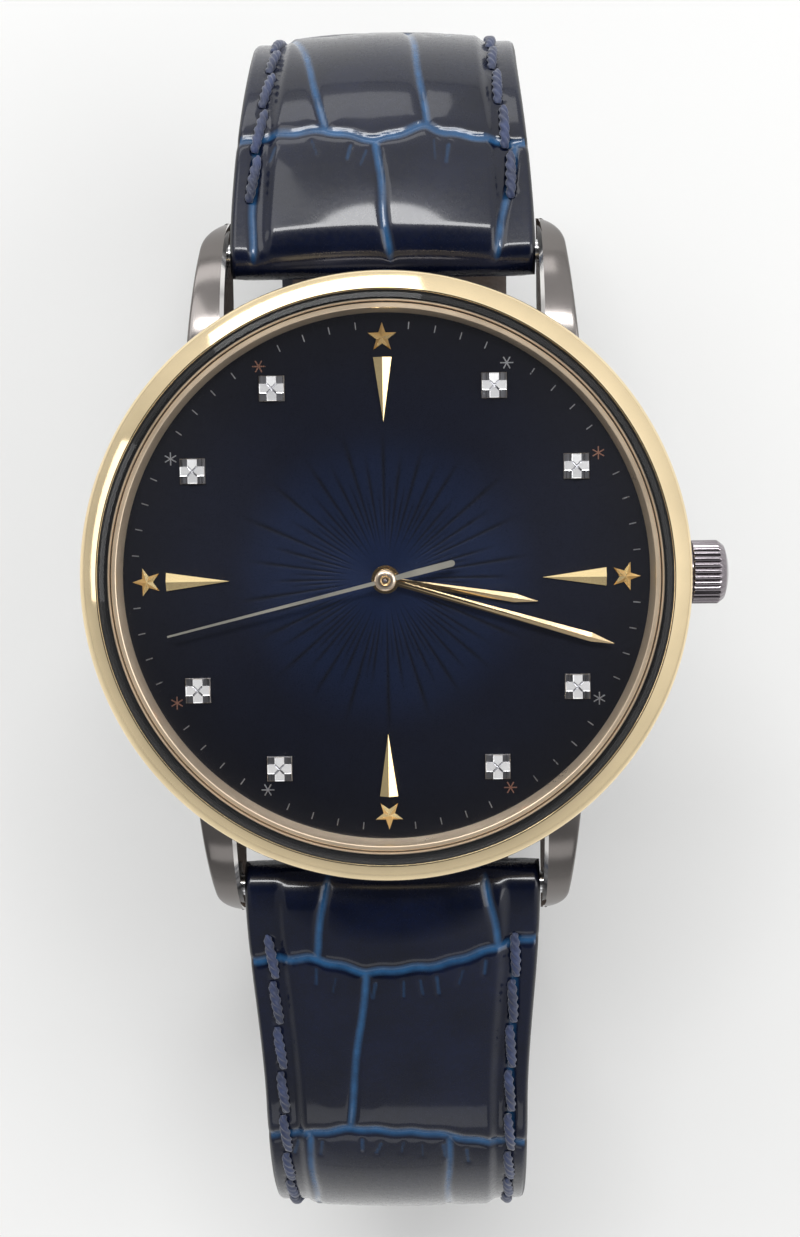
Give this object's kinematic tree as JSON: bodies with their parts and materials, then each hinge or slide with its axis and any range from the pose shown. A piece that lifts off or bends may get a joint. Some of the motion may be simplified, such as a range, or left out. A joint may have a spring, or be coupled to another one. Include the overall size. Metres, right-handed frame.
{
  "type": "analog wristwatch",
  "caption": "Round dress wristwatch, gold bezel on a dark steel case, blue-black dial with star and wedge hour markers, navy leather strap with pin buckle.",
  "frame": {"origin": "on the axis of the hands, in the plane of the case back's outer face", "axes": "+Z along the dial's normal, out of the crystal; +Y towards 12 o'clock; +X towards the crown at 3"},
  "size_m": [0.0412, 0.0864, 0.0473],
  "materials": {
    "case_steel": "satin",
    "bezel_gold": "polished",
    "sapphire": "clear",
    "seal_rubber": "matte",
    "flange_gold": "satin",
    "dial_blue": "sunburst lacquer",
    "gold": "polished",
    "silver": "polished",
    "hand_gold": "polished",
    "crown_steel": "polished",
    "steel": "satin",
    "holder_plastic": "matte",
    "plate_nickel": "satin",
    "train_brass": "polished",
    "ruby": "clear",
    "blued_steel": "blued",
    "leather_navy": "glossy, embossed scales",
    "leather_lining": "matte",
    "strap_padding": "felt",
    "thread_navy": "twisted thread"
  },
  "bodies": {
    "case": {"mid_case": "case_steel", "bezel": "bezel_gold", "crystal": "sapphire", "crystal_gasket": "seal_rubber", "rehaut": "flange_gold", "dial": "dial_blue", "star_markers": "gold", "wedge_markers": "gold", "square_markers": "silver", "crown_tube": "steel", "case_back_ring": "steel", "case_back_glass": "sapphire", "case_back_gasket": "seal_rubber", "movement_holder": "holder_plastic", "main_plate": "plate_nickel", "train_bridge": "plate_nickel", "balance_bridge": "plate_nickel", "pallet_bridge": "plate_nickel", "automatic_bridge": "plate_nickel", "bridge_screws": "blued_steel", "jewels": "ruby", "balance_spring": "blued_steel", "rotor_bearing": "steel", "spring_bar_12": "steel", "spring_bar_6": "steel"},
    "crown_slide": {"crown_gasket": "seal_rubber"},
    "crown": {"crown": "crown_steel", "winding_stem": "steel"},
    "clutch": {"sliding_pinion": "steel"},
    "winding_pinion": {"winding_pinion": "steel"},
    "crown_wheel": {"crown_wheel": "steel"},
    "ratchet_wheel": {"ratchet_wheel": "steel"},
    "rotor": {"rotor": "plate_nickel"},
    "fourth_wheel": {"fourth_wheel": "train_brass", "second_hand": "hand_gold"},
    "third_wheel": {"third_wheel": "train_brass"},
    "center_wheel": {"center_wheel": "train_brass", "cannon_pinion": "steel", "minute_hand": "hand_gold"},
    "minute_wheel": {"minute_wheel": "train_brass"},
    "hour_wheel": {"hour_wheel": "train_brass", "hour_hand": "hand_gold"},
    "barrel": {"barrel": "train_brass"},
    "escape_wheel": {"escape_wheel": "steel"},
    "pallet_fork": {"pallet_fork": "steel"},
    "balance": {"balance_wheel": "train_brass"},
    "strap_12": {"strap_12_upper": "leather_navy", "strap_12_filler": "strap_padding", "strap_12_lining": "leather_lining", "strap_12_stitches": "thread_navy", "fixed_keeper": "leather_navy", "buckle_spring_bar": "steel"},
    "free_keeper": {"free_keeper": "leather_navy"},
    "buckle": {"buckle_frame": "steel"},
    "tongue": {"buckle_tongue": "steel"},
    "strap_6": {"strap_6_upper": "leather_navy", "strap_6_filler": "strap_padding", "strap_6_lining": "leather_lining", "strap_6_stitches": "thread_navy"}
  },
  "joints": [
    {"name": "crown_pull", "type": "slide", "parent": "case", "child": "crown_slide", "axis": [1, 0, 0], "range_m": [0, 0.0012]},
    {"name": "crown_spin", "type": "hinge", "parent": "crown_slide", "child": "crown", "pos_m": [0.02, 0, 0.0048], "axis": [1, 0, 0], "continuous": true},
    {"name": "clutch_slide", "type": "slide", "parent": "crown", "child": "clutch", "axis": [1, 0, 0], "range_m": [-0.00192, 0]},
    {"name": "winding_pinion_spin", "type": "hinge", "parent": "case", "child": "winding_pinion", "pos_m": [0.0099, 0, 0.0048], "axis": [1, 0, 0], "continuous": true},
    {"name": "crown_wheel_spin", "type": "hinge", "parent": "case", "child": "crown_wheel", "pos_m": [0.0081, 0, 0.005], "axis": [0, 0, -1], "continuous": true},
    {"name": "ratchet_spin", "type": "hinge", "parent": "case", "child": "ratchet_wheel", "pos_m": [0.0022, 0.00493, 0.005], "axis": [0, 0, -1], "continuous": true},
    {"name": "rotor_spin", "type": "hinge", "parent": "case", "child": "rotor", "pos_m": [0, 0, 0.002], "axis": [0, 0, -1], "continuous": true},
    {"name": "seconds_spin", "type": "hinge", "parent": "case", "child": "fourth_wheel", "pos_m": [0, 0, 0.005], "axis": [0, 0, -1], "continuous": true},
    {"name": "third_spin", "type": "hinge", "parent": "case", "child": "third_wheel", "pos_m": [-0.00409, -0.00149, 0.005], "axis": [0, 0, -1], "continuous": true},
    {"name": "minutes_spin", "type": "hinge", "parent": "case", "child": "center_wheel", "pos_m": [0, 0, 0.005], "axis": [0, 0, -1], "continuous": true},
    {"name": "minute_wheel_spin", "type": "hinge", "parent": "case", "child": "minute_wheel", "pos_m": [0, -0.0026, 0.005], "axis": [0, 0, -1], "continuous": true},
    {"name": "hours_spin", "type": "hinge", "parent": "case", "child": "hour_wheel", "pos_m": [0, 0, 0.005], "axis": [0, 0, -1], "continuous": true},
    {"name": "barrel_spin", "type": "hinge", "parent": "case", "child": "barrel", "pos_m": [0.0022, 0.00493, 0.005], "axis": [0, 0, -1], "continuous": true},
    {"name": "escape_spin", "type": "hinge", "parent": "case", "child": "escape_wheel", "pos_m": [0.00333, -0.0028, 0.005], "axis": [0, 0, -1], "continuous": true},
    {"name": "pallet_swing", "type": "hinge", "parent": "case", "child": "pallet_fork", "pos_m": [0.00254, -0.00501, 0.0046], "axis": [0, 0, -1], "range_deg": [-5, 5]},
    {"name": "balance_swing", "type": "hinge", "parent": "case", "child": "balance", "pos_m": [0.00161, -0.00759, 0.004], "axis": [0, 0, -1], "range_deg": [-150, 150], "stiffness_Nm_per_rad": 0.0000003},
    {"name": "strap_12_swing", "type": "hinge", "parent": "case", "child": "strap_12", "pos_m": [0, 0.0208, 0.0025], "axis": [1, 0, 0], "range_deg": [-25, 0]},
    {"name": "strap_6_swing", "type": "hinge", "parent": "case", "child": "strap_6", "pos_m": [0, -0.0208, 0.0025], "axis": [-1, 0, 0], "range_deg": [0, 80]},
    {"name": "free_keeper_slide", "type": "slide", "parent": "strap_12", "child": "free_keeper", "axis": [0, 1, 0], "range_m": [-0.0025, 0.007]},
    {"name": "buckle_swing", "type": "hinge", "parent": "strap_12", "child": "buckle", "pos_m": [0, -0.00792, -0.0272], "axis": [-1, 0, 0], "range_deg": [-25, 75]},
    {"name": "tongue_swing", "type": "hinge", "parent": "buckle", "child": "tongue", "pos_m": [0, -0.00792, -0.0272], "axis": [1, 0, 0], "range_deg": [0, 25]}
  ],
  "couplings": [
    {"joint": "clutch_slide", "follows": "crown_pull", "ratio": -1.6},
    {"joint": "winding_pinion_spin", "follows": "crown_spin", "ratio": 1},
    {"joint": "crown_wheel_spin", "follows": "crown_spin", "ratio": -0.53333},
    {"joint": "ratchet_spin", "follows": "crown_spin", "ratio": 0.30476},
    {"joint": "third_spin", "follows": "seconds_spin", "ratio": -0.13333},
    {"joint": "minutes_spin", "follows": "seconds_spin", "ratio": 0.016667},
    {"joint": "minute_wheel_spin", "follows": "seconds_spin", "ratio": -0.0055556},
    {"joint": "hours_spin", "follows": "seconds_spin", "ratio": 0.0013889},
    {"joint": "barrel_spin", "follows": "seconds_spin", "ratio": -0.0020833},
    {"joint": "escape_spin", "follows": "seconds_spin", "ratio": -10}
  ]
}
